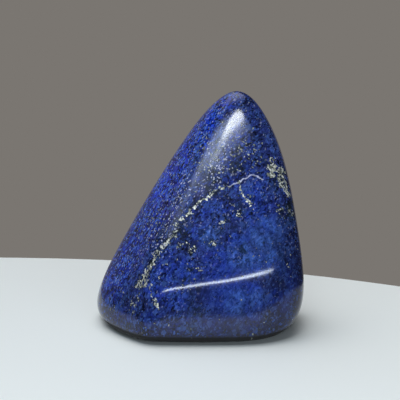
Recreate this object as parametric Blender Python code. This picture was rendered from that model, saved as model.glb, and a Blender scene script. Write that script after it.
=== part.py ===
"""Polished lapis lazuli: a freeform stone that stands upright, shaped like a leaning, rounded pyramid.

The real stone is a single piece of rock. Its flats were ground one by one, and then every edge between them was
rounded over and polished. The solid is made in the same order: a round blank is drawn in to a set of flats that
meet in rounded edges, and one small flat is cut across the bottom, which the stone rests on.

Units are metres, +Z is up and the front of the stone looks along -Y. The origin is on the resting flat, straight
below the heart of the stone, the inner point that every flat is measured from.
"""

import math

import bmesh
import bpy
from mathutils import Vector

# Driving dimensions
HEART = Vector((0.0, 0.0, 0.026))
BLANK_CELLS = 28
SOFT_EDGE = 13
CREASE_EDGE = 48
CUT_TOLERANCE = 0.00002

# Each flat is (turn, tilt, reach). Turn is in degrees round the stone, from the front towards the right. Tilt is
# in degrees, up from level or, when negative, down. Reach is the distance from the heart.
UPPER_FRONT = {
    "front face": (-2.5, 24, 0.0138),
    "right of the front face": (22, 19, 0.0196),
    "ridge left of the front face": (-30, 31, 0.0156),
}
LOWER_FRONT = {
    "lower front": (0, 8.5, 0.01765),
    "lower front on the right": (27, 8, 0.02255),
}
SIDES = {
    "left front": (-61, 30, 0.0139),
    "left front, low": (-52, 12, 0.0197),
    "upper left": (-84, 40, 0.0191),
    "lower left": (-97, 28, 0.0177),
    "left, low": (-88, 10, 0.0253),
    "right side": (92, 8, 0.0252),
    "upper right": (80, 32, 0.0305),
    "top": (-60, 82, 0.0422),
    "back": (178, 10, 0.0174),
    "upper back": (172, 42, 0.0296),
    "left back": (-130, 25, 0.0186),
    "right back": (140, 12, 0.0224),
}
UNDERSIDE = {
    "left foot": (-80, -25, 0.0362),
    "right foot": (80, -28, 0.0339),
    "under the left": (-90, -84, 0.0302),
    "under the left front": (-45, -84, 0.0305),
    "under the right": (90, -83, 0.0294),
    "under the front": (5, -78, 0.0307),
    "under the back": (180, -76, 0.0299),
    "bottom": (0, -90, 0.0289),
}

# The polished blue of the rock
LAPIS_COLOUR = (0.022, 0.045, 0.235, 1.0)
LAPIS_ROUGHNESS = 0.14


def clear_scene():
    for thing in list(bpy.data.objects):
        bpy.data.objects.remove(thing, do_unlink=True)


def facing(turn, tilt):
    """The way a flat looks, as a unit vector."""
    turn = math.radians(turn)
    tilt = math.radians(tilt)
    level = math.cos(tilt)
    return Vector((math.sin(turn) * level, -math.cos(turn) * level, math.sin(tilt)))


def nearness(direction, flats):
    """For each flat, one over the distance at which a ray from the heart meets it, or 0 where it never does."""
    return [max(direction.dot(facing(turn, tilt)), 0.0) / reach for turn, tilt, reach in flats.values()]


def rounded_meeting(values, edge):
    """The nearest flat wins, and near an edge both count, so that the edge is rounded."""
    return sum(value ** edge for value in values) ** (1 / edge)


def skin_point(direction):
    """Where a ray from the heart leaves the stone, before the resting flat is cut."""
    upper = rounded_meeting(nearness(direction, UPPER_FRONT), SOFT_EDGE)
    lower = rounded_meeting(nearness(direction, LOWER_FRONT), SOFT_EDGE)
    front = rounded_meeting([upper, lower], CREASE_EDGE)
    others = nearness(direction, SIDES) + nearness(direction, UNDERSIDE)
    return HEART + direction / rounded_meeting([front, *others], SOFT_EDGE)


def round_blank():
    """A ball of nearly equal four-sided cells, blown up from a cube."""
    blank = bmesh.new()
    bmesh.ops.create_cube(blank, size=2)
    bmesh.ops.subdivide_edges(blank, edges=blank.edges[:], cuts=BLANK_CELLS - 1, use_grid_fill=True)
    for vert in blank.verts:
        vert.co = Vector([math.tan(part * math.pi / 4) for part in vert.co]).normalized()
    return blank


def grind(blank):
    """Draws the blank in to the flats."""
    for vert in blank.verts:
        vert.co = skin_point(vert.co)


def cut_resting_flat(stone):
    """Cuts the stone off level at the origin and closes the cut with one flat face."""
    everything = stone.verts[:] + stone.edges[:] + stone.faces[:]
    bmesh.ops.bisect_plane(
        stone, geom=everything, dist=CUT_TOLERANCE, plane_co=(0, 0, 0), plane_no=(0, 0, 1), clear_inner=True
    )
    rim = [edge for edge in stone.edges if edge.is_boundary]
    for edge in rim:
        for vert in edge.verts:
            vert.co.z = 0.0
    bmesh.ops.contextual_create(stone, geom=rim)


def lapis_material():
    material = bpy.data.materials.new("lapis")
    material.use_nodes = True
    shader = material.node_tree.nodes["Principled BSDF"]
    shader.inputs["Base Color"].default_value = LAPIS_COLOUR
    shader.inputs["Roughness"].default_value = LAPIS_ROUGHNESS
    shader.inputs["Metallic"].default_value = 0.0
    return material


def lapis_stone():
    stone = round_blank()
    grind(stone)
    cut_resting_flat(stone)
    bmesh.ops.recalc_face_normals(stone, faces=stone.faces[:])
    mesh = bpy.data.meshes.new("lapis_stone")
    stone.to_mesh(mesh)
    stone.free()
    mesh.materials.append(lapis_material())
    mesh.shade_smooth()
    thing = bpy.data.objects.new("lapis_stone", mesh)
    bpy.context.scene.collection.objects.link(thing)
    return thing


clear_scene()
lapis_stone()
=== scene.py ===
import math

import bmesh
import bpy
from mathutils import Matrix, Vector, noise


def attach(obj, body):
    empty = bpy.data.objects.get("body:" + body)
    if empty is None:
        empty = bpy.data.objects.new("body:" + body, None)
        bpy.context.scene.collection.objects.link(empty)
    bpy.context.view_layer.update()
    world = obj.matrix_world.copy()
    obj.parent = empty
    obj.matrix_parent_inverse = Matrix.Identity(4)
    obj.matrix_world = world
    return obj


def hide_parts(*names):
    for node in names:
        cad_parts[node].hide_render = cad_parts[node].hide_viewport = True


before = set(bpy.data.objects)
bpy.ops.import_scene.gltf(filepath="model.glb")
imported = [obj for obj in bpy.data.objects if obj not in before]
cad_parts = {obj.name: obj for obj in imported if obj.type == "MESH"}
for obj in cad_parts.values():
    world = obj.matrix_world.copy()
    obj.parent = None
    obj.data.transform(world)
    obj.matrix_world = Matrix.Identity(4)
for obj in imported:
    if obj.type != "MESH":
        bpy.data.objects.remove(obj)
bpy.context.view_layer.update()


# The stone's shape. It is one lump of lapis lazuli: its flats were ground one by one on a wheel, every edge
# between them was rounded over, and all of it was polished. Here a round blank is drawn in to the same flats,
# and then cut off level at the bottom, where the real stone has the small flat that it stands on.
HEART = Vector((0.0, 0.0, 0.026))
BLANK_CELLS = 110
SOFT_EDGE = 13
CREASE_EDGE = 48
CUT_TOLERANCE = 0.00002

# Each flat is (turn, tilt, reach). Turn is in degrees round the stone, from the front towards the right. Tilt
# is in degrees, up from level or, when negative, down. Reach is the distance from the heart, in metres.
UPPER_FRONT = {
    "front face": (-2.5, 24, 0.0138),
    "right of the front face": (22, 19, 0.0196),
    "ridge left of the front face": (-30, 31, 0.0156),
}
LOWER_FRONT = {
    "lower front": (0, 8.5, 0.01765),
    "lower front on the right": (27, 8, 0.02255),
}
SIDES = {
    "left front": (-61, 30, 0.0139),
    "left front, low": (-52, 12, 0.0197),
    "upper left": (-84, 40, 0.0191),
    "lower left": (-97, 28, 0.0177),
    "left, low": (-88, 10, 0.0253),
    "right side": (92, 8, 0.0252),
    "upper right": (80, 32, 0.0305),
    "top": (-60, 82, 0.0422),
    "back": (178, 10, 0.0174),
    "upper back": (172, 42, 0.0296),
    "left back": (-130, 25, 0.0186),
    "right back": (140, 12, 0.0224),
}
UNDERSIDE = {
    "left foot": (-80, -25, 0.0362),
    "right foot": (80, -28, 0.0339),
    "under the left": (-90, -84, 0.0302),
    "under the left front": (-45, -84, 0.0305),
    "under the right": (90, -83, 0.0294),
    "under the front": (5, -78, 0.0307),
    "under the back": (180, -76, 0.0299),
    "bottom": (0, -90, 0.0289),
}

# A flat polished by hand is never quite true: it rises and falls by a few hundredths of a millimetre. Two
# grains have broken out along the crease. Each nick is (place, radius, depth).
WAVE_HEIGHT = 0.00004
WAVE_LENGTH = 0.007
NICKS = (
    (Vector((-0.0044, -0.0196, 0.0170)), 0.0011, 0.00012),
    (Vector((0.0160, -0.0187, 0.0196)), 0.0010, 0.00008),
)


def facing(turn, tilt):
    """The way a flat looks, as a unit vector."""
    turn = math.radians(turn)
    tilt = math.radians(tilt)
    level = math.cos(tilt)
    return Vector((math.sin(turn) * level, -math.cos(turn) * level, math.sin(tilt)))


def planes(flats):
    return [(facing(turn, tilt), reach) for turn, tilt, reach in flats.values()]


def nearness(direction, flats):
    """For each flat, one over how far out a ray from the heart meets it, or 0 where it never does."""
    return [max(direction.dot(normal), 0.0) / reach for normal, reach in flats]


def rounded_meeting(values, edge):
    """The nearest flat wins, and near an edge both count, so that the edge is rounded."""
    return sum(value ** edge for value in values) ** (1 / edge)


upper_planes = planes(UPPER_FRONT)
lower_planes = planes(LOWER_FRONT)
other_planes = planes(SIDES) + planes(UNDERSIDE)


def skin_point(direction):
    """Where a ray from the heart leaves the polished stone, before the resting flat is cut."""
    upper = rounded_meeting(nearness(direction, upper_planes), SOFT_EDGE)
    lower = rounded_meeting(nearness(direction, lower_planes), SOFT_EDGE)
    front = rounded_meeting([upper, lower], CREASE_EDGE)
    point = HEART + direction / rounded_meeting([front, *nearness(direction, other_planes)], SOFT_EDGE)
    rise = WAVE_HEIGHT * noise.noise(point / WAVE_LENGTH)
    for nick, radius, depth in NICKS:
        rise -= depth * max(1 - (point - nick).length_squared / radius ** 2, 0)
    return point + direction * rise


# The blank is a cube of fine cells, blown up to a ball. The tangent keeps the cells nearly equal.
stone = bmesh.new()
bmesh.ops.create_cube(stone, size=2)
bmesh.ops.subdivide_edges(stone, edges=stone.edges[:], cuts=BLANK_CELLS - 1, use_grid_fill=True)
for vert in stone.verts:
    vert.co = skin_point(Vector([math.tan(part * math.pi / 4) for part in vert.co]).normalized())

# The resting flat: everything below the origin is cut away, and the cut is closed with one level face.
bmesh.ops.bisect_plane(
    stone, geom=stone.verts[:] + stone.edges[:] + stone.faces[:], dist=CUT_TOLERANCE,
    plane_co=(0, 0, 0), plane_no=(0, 0, 1), clear_inner=True,
)
rim = [edge for edge in stone.edges if edge.is_boundary]
for edge in rim:
    for vert in edge.verts:
        vert.co.z = 0.0
bmesh.ops.contextual_create(stone, geom=rim)
bmesh.ops.recalc_face_normals(stone, faces=stone.faces[:])

stone_mesh = bpy.data.meshes.new("polished_stone")
stone.to_mesh(stone_mesh)
stone.free()
stone_mesh.shade_smooth()
polished_stone = bpy.data.objects.new("polished_stone", stone_mesh)
bpy.context.scene.collection.objects.link(polished_stone)


# The rock itself. Lapis lazuli is a mix of grains grown into each other: blue lazurite in several depths,
# pale calcite, blackish green pyroxene and brassy pyrite. The grains run all through the lump, so the pattern
# is a solid one in millimetres, and the polished skin shows a slice of it.
MILLIMETRES = 1000
CLOUD_ROUGHNESS = 0.55
JITTER_SCALE = 0.8

# A spot is full to a fifth of its radius. Depth counts for a third: patches run deeper than they are wide.
SPOT_CORE = 0.2
DEPTH_COUNTS = Vector((1, 0.33, 1))


class Reading:
    """One number, colour or vector among a recipe's nodes. Sums and products of numbers add Math nodes."""

    def __init__(self, recipe, socket):
        self.recipe = recipe
        self.socket = socket

    def math(self, operation, *others):
        return self.recipe.node("Math", {"operation": operation}, dict(enumerate((self, *others))))

    def __add__(self, other):
        return self.math("ADD", other)

    __radd__ = __add__

    def __sub__(self, other):
        return self.math("SUBTRACT", other)

    def __rsub__(self, other):
        return self.recipe.node("Math", {"operation": "SUBTRACT"}, {0: other, 1: self})

    def __mul__(self, other):
        return self.math("MULTIPLY", other)

    __rmul__ = __mul__

    def __truediv__(self, other):
        return self.math("DIVIDE", other)

    def __rtruediv__(self, other):
        return self.recipe.node("Math", {"operation": "DIVIDE"}, {0: other, 1: self})

    def __abs__(self):
        return self.math("ABSOLUTE")

    def __lt__(self, other):
        return self.math("LESS_THAN", other)

    def __gt__(self, other):
        return self.math("GREATER_THAN", other)

    def __or__(self, other):
        """The larger of two masks."""
        return self.math("MAXIMUM", other)

    __ror__ = __or__


class Recipe:
    """The nodes of one material, or of the studio round the stone."""

    def __init__(self, owner, shader):
        owner.use_nodes = True
        self.tree = owner.node_tree
        self.shader = self.tree.nodes[shader]

    def node(self, kind, settings=None, inputs=None, output=0):
        """Adds one node: first its settings, then the values or links of its sockets."""
        made = self.tree.nodes.new("ShaderNode" + kind)
        for name, value in (settings or {}).items():
            if name == "points":
                self.draw_curve(made.mapping, value)
            else:
                setattr(made, name, value)
        for name, value in (inputs or {}).items():
            if isinstance(value, Reading):
                self.tree.links.new(value.socket, made.inputs[name])
            else:
                made.inputs[name].default_value = value
        return Reading(self, made.outputs[output])

    def draw_curve(self, mapping, points):
        """Lays a smooth curve through the points. A new curve already has two."""
        curve = mapping.curves[0]
        for _ in points[2:]:
            curve.points.new(0.5, 0.5)
        for handle, point in zip(curve.points, points):
            handle.location = point
            handle.handle_type = "AUTO"
        mapping.update()

    def feed(self, socket, reading):
        self.tree.links.new(reading.socket, self.shader.inputs[socket])

    def other(self, reading, output):
        """Another output of the node that a reading comes from."""
        return Reading(self, reading.socket.node.outputs[output])

    def vector(self, operation, *parts, output=0, **inputs):
        return self.node("VectorMath", {"operation": operation}, {**dict(enumerate(parts)), **inputs}, output)

    def dot(self, one, other):
        return self.vector("DOT_PRODUCT", one, other, output="Value")

    def coordinate(self, place, axis):
        return self.node("SeparateXYZ", inputs={"Vector": place}, output=axis)

    def blend(self, low, high, share):
        """Colour low where share is 0, and high where it is 1."""
        return self.node("Mix", {"data_type": "RGBA"}, {0: share, 6: low, 7: high}, 2)

    def times(self, colour, factor):
        return self.vector("SCALE", colour, Scale=factor)

    def kept_within(self, value, low, high):
        return self.node("Clamp", inputs={"Value": value, "Min": low, "Max": high})

    def step(self, value, start, end):
        """0 before start, 1 after end, and a soft rise between them. Start may be the larger."""
        return self.node(
            "MapRange", {"interpolation_type": "SMOOTHSTEP"},
            {"Value": value, "From Min": start, "From Max": end},
        )

    def clouds(self, where, size, pick, detail=2.0):
        """Soft noise from 0 to 1, in blobs of about size millimetres. Each pick is another pattern."""
        return self.node(
            "TexNoise", {"noise_dimensions": "4D"},
            {"Vector": where, "W": pick, "Scale": 1 / size, "Detail": detail, "Roughness": CLOUD_ROUGHNESS},
        )

    def patches(self, where, size, pick, start, end, detail=2.0):
        """A mask of random patches: 0 where the clouds are below start, and 1 where they are above end."""
        return self.step(self.clouds(where, size, pick, detail), start, end)

    def grains(self, where, size):
        """Grains of about size millimetres: the distance from each one's centre, in grain sizes."""
        return self.node("TexVoronoi", inputs={"Vector": where, "Scale": 1 / size}, output="Distance")

    def dice(self, grains, channel="Red"):
        """A random number from 0 to 1 for each grain. Each channel is another number."""
        return self.node("SeparateColor", inputs={"Color": self.other(grains, "Color")}, output=channel)

    def offset(self, place, point):
        """The way from a point to a place."""
        return self.vector("MULTIPLY", self.vector("SUBTRACT", place, point), tuple(DEPTH_COUNTS))

    def near_spot(self, place, point, radius):
        """1 at a point and 0 past radius millimetres from it."""
        distance = self.vector("LENGTH", self.offset(place, point), output="Value")
        return self.step(distance, radius, radius * SPOT_CORE)

    def near_spots(self, place, spots):
        """1 at any spot's point and 0 past its radius."""
        mask = 0.0
        for point, radius in spots:
            mask = mask | self.near_spot(place, point, radius)
        return mask

    def from_line(self, place, start, end):
        """Millimetres from the straight line between two points."""
        along = (Vector(end) - Vector(start)) * DEPTH_COUNTS
        offset = self.offset(place, start)
        share = self.kept_within(self.dot(offset, tuple(along)) / along.length_squared, 0, 1)
        nearest = self.vector("SCALE", tuple(along), Scale=share)
        return self.vector("DISTANCE", offset, nearest, output="Value")

    def beyond(self, place, point, away):
        """Millimetres that a place lies past a plane through a point, the way that away looks."""
        return self.dot(self.vector("SUBTRACT", place, point), tuple(Vector(away).normalized()))


def between(low, high, share):
    """The number low where share is 0, and high where it is 1."""
    return low + (high - low) * share


lapis = bpy.data.materials.new("lapis")
rock = Recipe(lapis, "Principled BSDF")
place = rock.vector("SCALE", rock.node("TexCoord", output="Object"), Scale=MILLIMETRES)
jitter = rock.node("TexNoise", inputs={"Vector": place, "Scale": JITTER_SCALE, "Detail": 3}, output="Color")
jitter = rock.vector("SUBTRACT", jitter, (0.5, 0.5, 0.5))


def shaken(where, reach):
    """A place moved at random by up to half of reach millimetres, which makes edges drawn there ragged."""
    return rock.vector("MULTIPLY_ADD", jitter, (reach, reach, reach), where)


# The grains are drawn out one way, up and a little to the right, as the rock once flowed.
FLOW_WAY = (0.42, 0.0, 0.91)
DRAWN_OUT = 0.3
loose = shaken(place, reach=2.0)
flow = rock.dot(place, FLOW_WAY) * -DRAWN_OUT
wavering = shaken(rock.vector("ADD", place, rock.vector("SCALE", FLOW_WAY, Scale=flow)), reach=0.9)

# The blue ground is lazurite, duller and darker over its front, with violet and denim patches. Over the
# stone's left it is clear cobalt, partly its own blue and partly painted light from the left; over its right
# it is duller, as painted shade. Each plane is a point and the way out, and each spot is (point, radius).
COBALT = (0.004, 0.025, 0.320, 1)
ROYAL = (0.011, 0.028, 0.210, 1)
DUSK = (0.013, 0.021, 0.100, 1)
VIOLET = (0.024, 0.019, 0.140, 1)
DENIM = (0.036, 0.088, 0.320, 1)
LEFT_EDGE = (-8.6, 0, 32.5)
LEFT_WAY = (-0.856, 0, 0.516)
RIGHT_EDGE = (19.0, 0, 30.0)
RIGHT_WAY = (0.95, 0, 0.31)
CLEAR_SPOTS = (
    ((13.5, -10.5, 37.5), 4.5), ((5.0, -17.0, 19.0), 8), ((-7.0, -19.5, 13.0), 6), ((8.0, -19.0, 12.5), 10),
    ((4.0, -16.5, 22.0), 6), ((-3.5, -17.5, 19.5), 6),
)
DULL_SPOTS = (
    ((0.0, -9.0, 42.5), 8), ((7.5, -10.8, 37.0), 4), ((-5.0, -11.0, 36.0), 7), ((3.0, -14.0, 31.0), 4),
    ((-8.0, -14.0, 27.0), 5),
)
DULL_SHARE = 0.7
VIOLET_SPOTS = (((-8.5, -8.5, 33.0), 4), ((-7.5, -9.0, 39.0), 3))
VIOLET_SHARE = 0.7
DENIM_SPOTS = (
    ((9.0, -18.5, 11.5), 5), ((16.5, -13.5, 27.5), 7), ((11.0, -16.5, 23.0), 6), ((17.5, -14.0, 22.5), 6),
    ((2.4, -14.3, 27.5), 4), ((14.0, -18.5, 12.3), 4),
)
DENIM_SHARE = 0.9
DENIM_ELSEWHERE = 0.4

on_left = rock.step(rock.beyond(loose, LEFT_EDGE, LEFT_WAY), -1.5, 2.5)
painted_shade_right = rock.step(rock.beyond(loose, RIGHT_EDGE, RIGHT_WAY), -3, 3)
clear = rock.patches(loose, size=4.5, pick=1, start=0.42, end=0.60, detail=3)
clear = clear | rock.near_spots(loose, CLEAR_SPOTS)
# Fewer clear patches on the right: painted shade on the side turned from the light.
ground = rock.blend(DUSK, ROYAL, clear * between(1, 0.15, painted_shade_right))
# Clear cobalt on the left: partly the rock's own blue, partly painted light from the left.
ground = rock.blend(ground, COBALT, on_left * between(0.6, 1, clear))
for point, radius in DULL_SPOTS:
    ground = rock.blend(ground, DUSK, DULL_SHARE * rock.near_spot(loose, point, radius))

violet = between(0.25, 0.60, on_left) * rock.patches(loose, size=5.0, pick=2, start=0.54, end=0.70)
violet = violet | VIOLET_SHARE * rock.near_spots(loose, VIOLET_SPOTS)
ground = rock.blend(ground, VIOLET, violet)

mottle = rock.patches(wavering, size=1.6, pick=3.5, start=0.40, end=0.62, detail=4)
denim = DENIM_ELSEWHERE * rock.patches(loose, size=6.0, pick=3, start=0.56, end=0.74, detail=4)
denim = denim | DENIM_SHARE * rock.near_spots(loose, DENIM_SPOTS)
ground = rock.blend(ground, DENIM, denim * between(0.3, 1, mottle))

# Dark grains lie between the blue ones. All the grain is calmer low on the front than elsewhere.
NAVY = (0.004, 0.007, 0.034, 1)
CALM_SPOTS = (((8, -19, 13), 20), ((22, -12, 16), 18), ((16, -14, 26), 12))
coarse = between(1, 0.5, rock.near_spots(place, CALM_SPOTS))
dusky = rock.patches(wavering, size=1.3, pick=4, start=0.49, end=0.64, detail=3)
ground = rock.blend(ground, NAVY, coarse * between(0.65, 0.50, on_left) * dusky)

# Painted shade: low down, and towards its right edge, the rock is painted duller and darker. The rim beside
# the ground flat, where the stone turns under, is matt and painted nearly black as painted contact shadow.
LOW_PAINTED_SHADE = (0.003, 0.006, 0.036, 1)
LOW_PAINTED_SHADE_SHARE = 0.9
LOW_LEFT_SHADE = 0.68
RIGHT_RIM_SHADE = 0.5
RIGHT_RIM_WAY = (0.97, 0, -0.24)
UNDER_RIGHT = (14.0, 0, 2.8)
UNDER_RIGHT_WAY = (0.10, 0, -0.99)
level = rock.coordinate(loose, "Z")
low_painted_shade = rock.step(level, 15.0, 1.5)
ground = rock.blend(ground, LOW_PAINTED_SHADE, LOW_PAINTED_SHADE_SHARE * low_painted_shade)
# The left is painted darker low down: painted shade under the light from above left.
low_left_painted_shade = on_left * rock.step(level, 38, 26)
ground = rock.times(ground, between(1, LOW_LEFT_SHADE, low_left_painted_shade))
# Painted shade towards the right edge, on the side turned from the light.
right_rim_painted_shade = rock.step(rock.beyond(loose, RIGHT_EDGE, RIGHT_RIM_WAY), -2, 5)
ground = rock.times(ground, between(1, RIGHT_RIM_SHADE, right_rim_painted_shade))
# Painted contact shadow: nearly black round the ground flat and, higher up, under the right, in the stone's
# shadow.
matt_rim_painted_shade = rock.step(rock.coordinate(place, "Z"), 3.3, 2.4)
matt_rim_painted_shade = matt_rim_painted_shade | rock.step(rock.beyond(place, UNDER_RIGHT, UNDER_RIGHT_WAY), -0.4, 0.4)

# Every grain of the blue has its own depth, and a few of them are pale. Pale threads curl between them.
FINE = 0.40
MIDDLING = 0.90
DARKEST = 0.2
LIGHTEST = 3.0
PALE = (0.100, 0.220, 0.700, 1)
fine = rock.grains(wavering, FINE)
middling = rock.grains(wavering, MIDDLING)
tone = (rock.dice(fine) - 0.5) * between(1.7, 3.0, on_left) + (rock.dice(middling) - 0.5) * 0.8
ground = rock.times(ground, rock.kept_within(1.0 + tone * coarse, DARKEST, LIGHTEST))
pale = between(0.7, 1, on_left) * rock.step(rock.dice(fine, "Green"), 0.82, 0.95)
pale = pale | 0.5 * rock.step(rock.dice(middling, "Green"), 0.86, 0.98)
thread = rock.step(abs(rock.clouds(wavering, size=1.1, pick=21) - 0.5), 0.035, 0.01)
pale = pale | 0.6 * thread * (rock.patches(loose, size=3.0, pick=22, start=0.45, end=0.60) | denim)
ground = rock.blend(ground, PALE, pale * coarse * between(0.45, 0.75, on_left))

# The smallest grains of calcite show as pale specks. Along the ridge left of the front face many more are
# painted, and there they are painted glints of the light reflected on the ridge.
SPARK = 0.32
BRIGHT_SPOTS = (
    ((4.0, -6.0, 48.0), 6), ((-4.0, -10.5, 39.0), 7), ((-8.5, -12.5, 32.0), 6), ((-12.0, -14.0, 26.0), 6),
    ((4.0, -8.0, 44.0), 6),
)
spark = rock.grains(wavering, SPARK)
ridge = rock.near_spots(place, BRIGHT_SPOTS)
luck = rock.dice(spark) + 0.04 * rock.patches(loose, size=5.0, pick=31, start=0.45, end=0.65)
bright = rock.step(luck + 0.06 * ridge, 0.950, 0.970) * rock.step(spark, 0.70, 0.50)
bright = bright * between(0.35, 1, 0.4 * on_left | ridge)

# The main vein is a crack that pyrite filled. It cuts right through the stone, and wanders off its front
# route towards the back. Its points are millimetres along and across a line that leans, seen from the front.
VEIN_START = (-16.6, 0, 14.3)
VEIN_LEAN = math.radians(46.7)
VEIN_LENGTH = 41.3
VEIN_SWAY = 12.0
VEIN_ROUTE = (
    (0.0, 0.0), (2.6, 0.5), (4.1, 1.0), (7.7, 1.5), (9.6, 1.9), (12.7, 2.4), (16.0, 2.3), (17.6, 2.8),
    (18.6, 3.7), (21.0, 3.4), (23.9, 3.0), (26.0, 3.0), (28.7, 2.3), (31.0, 1.9), (33.5, 1.2), (35.3, 0.0),
    (39.2, -1.7), (41.3, -2.6),
)
WANDER_SCALE = 0.09
WANDER_MIDDLE = (0.42, 0.42, 0.42)
WANDER_REACH = 36
WANDER_DEPTHS = (-3, 9)

# Shares of the vein's length where its pyrite begins and ends, and its half width where it is slim and wide.
GOLD_START = (-0.02, 0.01)
GOLD_STOP = (0.88, 0.84)
VEIN_WIDTHS = (0.20, 0.46)
VEIN_FILL = 0.95
VEIN_BLOBS = (
    ((1.4, -10.3, 36.8), 0.935), ((-6.6, -12.2, 30.4), 1.02), ((-6.8, -13.7, 27.5), 0.935),
    ((-11.7, -14.2, 22.7), 1.105), ((-13.0, -15.0, 20.0), 0.765), ((-9.6, -13.9, 25.2), 0.68),
)
BLOB_FILL = 0.9

# Side seams: (start, end, half width).
SEAM_FILL = 0.85
SEAMS = (
    ((-13.4, -16.0, 18.0), (-14.4, -16.2, 15.5), 0.6), ((-14.4, -16.2, 15.5), (-16.3, -14.6, 14.4), 0.6),
    ((-12.8, -18.0, 15.2), (-12.6, -18.6, 13.9), 0.6), ((-12.6, -18.6, 13.9), (-10.9, -19.3, 10.2), 0.65),
    ((9.7, -9.0, 41.0), (10.2, -9.8, 38.8), 0.35), ((10.2, -9.8, 38.8), (13.4, -11.6, 34.2), 0.35),
    ((18.3, -6.5, 46.2), (18.2, -7.2, 42.5), 1.1), ((19.4, -7.2, 44.0), (22.0, -6.7, 42.6), 0.9),
    ((20.6, -6.7, 42.4), (21.2, -7.7, 39.6), 1.1), ((21.5, -7.7, 40.0), (22.6, -7.4, 37.0), 0.8),
)

# Loose specks: (place, radius, share of the grains there that are pyrite). Elsewhere the share lies between
# that of a poor patch and that of a rich one.
STRAY_SHARES = (0.01, 0.10)
FLECK_SPOTS = (
    ((9.1, -6.1, 47.0), 1.3, 0.5), ((7.8, -11.2, 35.4), 0.8, 0.8), ((9.6, -12.3, 33.0), 1.4, 0.85),
    ((5.7, -13.3, 30.6), 1.6, 0.8), ((23.6, -9.0, 32.3), 1.2, 0.5), ((20.2, -10.6, 34.0), 1.5, 0.5),
    ((22.6, -9.6, 33.4), 1.2, 0.5), ((-11.4, -4.9, 32.4), 1.2, 0.4), ((-11.0, -8.2, 30.0), 1.4, 0.4),
    ((-11.5, -10.7, 26.9), 1.6, 0.4), ((-3.2, -14.8, 26.2), 1.1, 0.8), ((-5.5, -14.9, 25.5), 1.1, 0.9),
    ((-3.0, -15.7, 24.3), 1.2, 0.9), ((-1.4, -15.5, 24.8), 1.1, 0.85), ((2.9, -15.2, 26.1), 1.2, 0.8),
    ((-10.4, -17.8, 17.8), 0.9, 0.8), ((-16.2, -16.2, 12.0), 1.3, 0.8), ((-17.4, -15.4, 10.0), 1.2, 0.7),
    ((-17.6, -15.8, 8.2), 1.3, 0.6), ((-20.7, -9.7, 12.3), 1.0, 0.4), ((-23.4, -8.4, 6.6), 1.0, 0.4),
    ((-12.0, -18.9, 6.1), 0.9, 0.5), ((-0.4, -17.7, 20.1), 1.6, 0.3), ((2.0, -5.0, 46.5), 8.0, 0.20),
    ((10.5, -5.0, 48.0), 8.0, 0.20), ((-12.0, -7.0, 30.0), 7.0, 0.12),
)

# Crumbs of pyrite: their size, how much of it the smallest one fills, and what luck and packing add to that.
CRUMB = 0.43
CRUMB_LEAST = 0.15
CRUMB_LUCKY = 0.45
CRUMB_PACKED = 0.45


def vein_distance(where):
    """Millimetres from the main vein, and the share of its length reached there."""
    behind = rock.step(rock.coordinate(where, "Y"), *WANDER_DEPTHS)
    drift = rock.node("TexNoise", {}, {"Vector": where, "Scale": WANDER_SCALE, "Detail": 1}, "Color")
    drift = rock.vector("SCALE", rock.vector("SUBTRACT", drift, WANDER_MIDDLE), Scale=behind * WANDER_REACH)
    shift = rock.vector("SUBTRACT", rock.vector("ADD", where, drift), VEIN_START)
    along = rock.dot(shift, (math.cos(VEIN_LEAN), 0, math.sin(VEIN_LEAN))) / VEIN_LENGTH
    across = rock.dot(shift, (-math.sin(VEIN_LEAN), 0, math.cos(VEIN_LEAN)))
    points = [(reach / VEIN_LENGTH, 0.5 + sway / VEIN_SWAY) for reach, sway in VEIN_ROUTE]
    route = rock.node("FloatCurve", {"points": points}, {"Value": along})
    return abs(across - (route - 0.5) * VEIN_SWAY), along


# Pyrite comes in crumbs. A crumb is wholly there or not at all, and packed ones are larger than loose ones.
crumbs = rock.grains(shaken(place, reach=1.4), CRUMB)
centre = rock.other(crumbs, "Position")
ragged = shaken(centre, reach=0.5)
off_vein, along_vein = vein_distance(ragged)
gold = rock.step(along_vein, *GOLD_START) * rock.step(along_vein, *GOLD_STOP)
vein_width = between(*VEIN_WIDTHS, rock.patches(centre, size=2.2, pick=8, start=0.38, end=0.68))
packed = VEIN_FILL * rock.step(off_vein / vein_width, 1.3, 0.6) * gold
packed = packed | BLOB_FILL * rock.near_spots(ragged, VEIN_BLOBS)
for start, end, half_width in SEAMS:
    off_seam = rock.from_line(ragged, start, end)
    packed = packed | SEAM_FILL * rock.step(off_seam, half_width * 1.2, half_width * 0.5)
packed = packed * between(0.35, 1, rock.patches(centre, size=1.0, pick=13, start=0.38, end=0.52))
density = packed
for point, radius, richness in FLECK_SPOTS:
    density = density | richness * rock.near_spot(centre, point, radius)
stray = between(*STRAY_SHARES, rock.patches(centre, size=4.0, pick=9, start=0.57, end=0.75, detail=3))
density = density | stray * coarse
chosen = rock.dice(crumbs) < density
crumb_reach = CRUMB_LEAST + CRUMB_LUCKY * rock.dice(crumbs, "Blue") + CRUMB_PACKED * packed
pyrite = chosen * rock.step(crumbs - crumb_reach, 0.12, -0.06)

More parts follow.
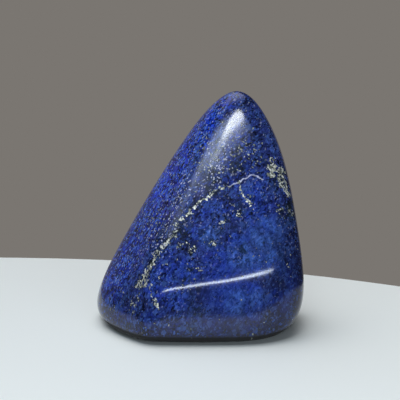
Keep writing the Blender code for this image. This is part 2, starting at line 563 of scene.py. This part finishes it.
# Blackish green pyroxene lies in ragged patches beside the pyrite.
BLACK_GREEN = (0.006, 0.012, 0.014, 1)
DARK_SHARE = 0.8
BESIDE_VEIN_SHARE = 0.75
STREAK_SHARE = 0.35
UNDER_PYRITE_SHARE = 0.8
DARK_SPOTS = (
    ((-4.0, -18.6, 17.5), 2.2), ((-2.7, -17.8, 19.8), 1.8), ((10.9, -15.8, 24.9), 2), ((23.0, -8.8, 33.3), 4),
    ((6.0, -13.6, 29.9), 2.5), ((10.1, -12.1, 33.5), 2), ((-1.0, -19.3, 9.0), 3), ((6.8, -9.3, 39.7), 1.5),
    ((-4.5, -13.2, 29.0), 4), ((8.8, -7.1, 44.8), 4), ((20.5, -7.0, 42.0), 4), ((3.0, -9.0, 42.0), 4),
    ((-3.0, -15.6, 24.6), 2.4), ((2.9, -15.2, 26.1), 2),
)
# A dark streak runs down the lower front, below the crease.
DARK_STREAK = ((-2.8, -19.0, 14.0), (-2.4, -19.0, 4.0))
patchy = rock.clouds(wavering, size=1.0, pick=11)
dark = BESIDE_VEIN_SHARE * rock.step(off_vein, 1.6, 0.5) * gold * rock.step(patchy, 0.40, 0.54)
dark = dark | DARK_SHARE * rock.near_spots(loose, DARK_SPOTS) * rock.step(patchy, 0.40, 0.56)
streak = rock.step(rock.from_line(loose, *DARK_STREAK), 1.7, 0.8)
dark = dark | STREAK_SHARE * streak * rock.step(patchy, 0.25, 0.50)
elsewhere = rock.patches(loose, size=2.2, pick=12, start=0.57, end=0.72, detail=3)
dark = dark | coarse * between(0.7, 0.2, on_left) * elsewhere
dark = dark | UNDER_PYRITE_SHARE * chosen
ground = rock.blend(ground, BLACK_GREEN, dark)

# The vein's upper right end is a hairline of white calcite instead.
CALCITE_AND_GLINT = (0.480, 0.500, 0.700, 1)
WHITE_START = (0.83, 0.86)
WHITE_STOP = (1.01, 0.99)
WHITE_SEAM = ((13.6, -8.0, 42.6), (16.1, -8.4, 41.4))
wavy = shaken(place, reach=1.3)
off_white, along_white = vein_distance(wavy)
white_part = rock.step(along_white, *WHITE_START) * rock.step(along_white, *WHITE_STOP)
white = rock.step(off_white, 0.26, 0.08) * white_part
white = white | rock.step(rock.from_line(wavy, *WHITE_SEAM), 0.28, 0.08)
white = white * rock.step(rock.coordinate(place, "Y"), 0, -3)
white = white * between(0.45, 1, rock.step(rock.dice(fine), 0.25, 0.6))
# Pale specks join the calcite colour, fewer low down: partly calcite, partly painted glints.
white = white | bright * (coarse - 0.35) * 1.3 * (1 - low_painted_shade)
ground = rock.blend(ground, CALCITE_AND_GLINT, white)

# The finish: polished blue; duller pyrite, its crumbs painted from olive to cream, partly their own brass and
# partly painted glints; and the matt rim below, painted black as painted contact shadow.
RIM_PAINTED_SHADE = (0.0, 0.0, 0.001, 1)
OLIVE = (0.120, 0.135, 0.105, 1)
CREAM = (0.700, 0.710, 0.640, 1)
PYRITE_METAL = 0.3
POLISHED_ROUGHNESS = 0.10
PYRITE_ROUGHER = 0.22
MATT_RIM_ROUGHNESS = 0.8
RELIEF_STRENGTH = 0.3
RELIEF_DEPTH = 0.00002
# The painted contact shadow: the rim round the ground flat, painted nearly black.
ground = rock.blend(ground, RIM_PAINTED_SHADE, matt_rim_painted_shade)
# Each pyrite crumb is painted from olive to cream: partly its own brass, partly painted glints.
painted_glint = rock.step(rock.dice(crumbs, "Green"), 0.15, 0.85) * between(0.4, 1, rock.step(density, 0.3, 0.7))
relief = pyrite + 0.3 * rock.dice(fine)
bump = rock.node("Bump", inputs={"Strength": RELIEF_STRENGTH, "Distance": RELIEF_DEPTH, "Height": relief})
rock.feed("Base Color", rock.blend(ground, rock.blend(OLIVE, CREAM, painted_glint), pyrite))
rock.feed("Metallic", pyrite * PYRITE_METAL)
rock.feed("Roughness", (POLISHED_ROUGHNESS + pyrite * PYRITE_ROUGHER) | MATT_RIM_ROUGHNESS * matt_rim_painted_shade)
rock.feed("Normal", bump)
stone_mesh.materials.append(lapis)

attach(polished_stone, "root")
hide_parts("lapis_stone")


# The floor: a plain pale disc under the stone, a thin board with a softened edge and matt paint. It is wide
# enough that only its far edge shows.
FLOOR_RADIUS = 0.249
FLOOR_CENTRE = Vector((-0.069, -0.172, 0.0))
FLOOR_THICKNESS = 0.014
FLOOR_EDGE = 0.002
PAINT_COLOUR = (0.84, 0.88, 0.87, 1)
PAINT_ROUGHNESS = 0.55
board = bmesh.new()
bmesh.ops.create_cone(
    board, cap_ends=True, segments=360, radius1=FLOOR_RADIUS, radius2=FLOOR_RADIUS, depth=FLOOR_THICKNESS
)
bmesh.ops.translate(board, verts=board.verts[:], vec=FLOOR_CENTRE - Vector((0, 0, FLOOR_THICKNESS / 2)))
upper_rim = [edge for edge in board.edges if all(vert.co.z > -FLOOR_THICKNESS / 2 for vert in edge.verts)]
bmesh.ops.bevel(
    board, geom=upper_rim, offset=FLOOR_EDGE, segments=3, profile=0.5, affect="EDGES", material=-1
)
floor_mesh = bpy.data.meshes.new("floor")
board.to_mesh(floor_mesh)
board.free()
floor = bpy.data.objects.new("floor", floor_mesh)
bpy.context.scene.collection.objects.link(floor)
pale_paint = bpy.data.materials.new("pale_paint")
coat = Recipe(pale_paint, "Principled BSDF").shader
coat.inputs["Base Color"].default_value = PAINT_COLOUR
coat.inputs["Roughness"].default_value = PAINT_ROUGHNESS
floor_mesh.materials.append(pale_paint)


# The light: a row of soft panels from behind the stone's left round to the front, a bright one high above the
# camera, and a long slim strip low in front. Directions from the stone's heart are (turn, tilt), as for the
# flats.
PANEL_TINT = (0.90, 1.06, 1.30)
STRIP_TINT = (0.91, 1.03, 1.14)
TOP_TINT = (1.0, 1.06, 1.04)


def soft_light(name, left, right, height, radiance, shape="ELLIPSE", away=0.5, tint=PANEL_TINT):
    """A panel of even light, which looks at the heart from away metres off. Its lower edge runs from the left
    direction to the right one, and it stands height metres tall.
    """
    left = facing(*left) * away
    right = facing(*right) * away
    across = (right - left).normalized()
    middle = (left + right) / 2
    up = across.cross(middle).normalized()
    if up.z < 0:
        up = -up
    centre = middle + up * height / 2
    # A lamp shines down its own -Z, so its +Z has to look away from the stone.
    outward = across.cross(up).normalized()
    if outward.dot(centre) < 0:
        outward = -outward
        across = -across
    lamp = bpy.data.lights.new(name, "AREA")
    lamp.shape = shape
    lamp.color = tint
    lamp.size = (right - left).length
    lamp.size_y = height
    area = lamp.size * lamp.size_y * (math.pi / 4 if shape == "ELLIPSE" else 1)
    lamp.energy = radiance * math.pi * area
    thing = bpy.data.objects.new(name, lamp)
    turn = Matrix((across, outward.cross(across), outward)).transposed()
    thing.matrix_world = Matrix.Translation(HEART + centre) @ turn.to_4x4()
    bpy.context.scene.collection.objects.link(thing)


soft_light("back_left_panel", (-168, 30), (-128, 30), height=0.28, radiance=0.6, shape="RECTANGLE", away=0.7)
soft_light("left_panel", (-113, 21), (-72, 34.5), height=0.065, radiance=0.28, shape="RECTANGLE")
soft_light("left_front_panel", (-74, 35), (-40, 39), height=0.035, radiance=1.2, shape="RECTANGLE")
soft_light("panel_glow", (-62, 39.8), (0, 37.2), height=0.055, radiance=1.3)
soft_light("panel_glow_low", (-55, 38.5), (-5, 37), height=0.045, radiance=0.7)
soft_light("panel_glow_high", (-48, 41.8), (-8, 40.6), height=0.04, radiance=2.9)
soft_light("top_glow", (-22, 40.2), (12, 40.8), height=0.060, radiance=1.2)
soft_light("top_light", (-16.5, 41.5), (6, 43.8), height=0.05, radiance=19, tint=TOP_TINT)
soft_light("front_strip", (-18, 12), (42, 7), height=0.025, radiance=20, tint=STRIP_TINT)

# The studio round the stone is dim, with an even grey behind it and a white glow overhead, a little to the
# left.
STUDIO_DIM = (0.045, 0.045, 0.050, 1)
BEHIND_GREY = (0.195, 0.181, 0.165, 1)
BEHIND_WAY = facing(198, 0)
OVERHEAD_WHITE = (2.65, 2.65, 2.65, 1)
OVERHEAD_WAY = facing(-105, 79)
world = bpy.data.worlds.new("studio")
bpy.context.scene.world = world
studio = Recipe(world, "Background")
way = studio.node("TexCoord", output="Generated")
behind = studio.step(studio.dot(way, tuple(BEHIND_WAY)), 0.60, 0.80)
overhead = studio.step(studio.dot(way, tuple(OVERHEAD_WAY)), 0.79, 0.98)
studio.feed("Color", studio.blend(studio.blend(STUDIO_DIM, BEHIND_GREY, behind), OVERHEAD_WHITE, overhead))


# The camera: level with no turn, 12 degrees above the stone, as in the photograph. The photograph is 400
# pixels wide, and one of its pixels is 0.262 mm at the stone.
PHOTO_WIDTH = 400
PIXEL = 0.000262
TARGET = Vector((-PIXEL, -0.0020, 0.0346))
DISTANCE = 0.450
CAMERA_TILT = math.radians(12)
SENSOR = 36.0
lens = bpy.data.cameras.new("camera")
lens.sensor_width = SENSOR
lens.lens = SENSOR * DISTANCE / (PHOTO_WIDTH * PIXEL)
camera = bpy.data.objects.new("camera", lens)
camera.location = TARGET - DISTANCE * Vector((0, math.cos(CAMERA_TILT), -math.sin(CAMERA_TILT)))
camera.rotation_euler = (math.pi / 2 - CAMERA_TILT, 0, 0)
bpy.context.scene.collection.objects.link(camera)
bpy.context.scene.camera = camera
bpy.context.scene.view_settings.view_transform = "Standard"
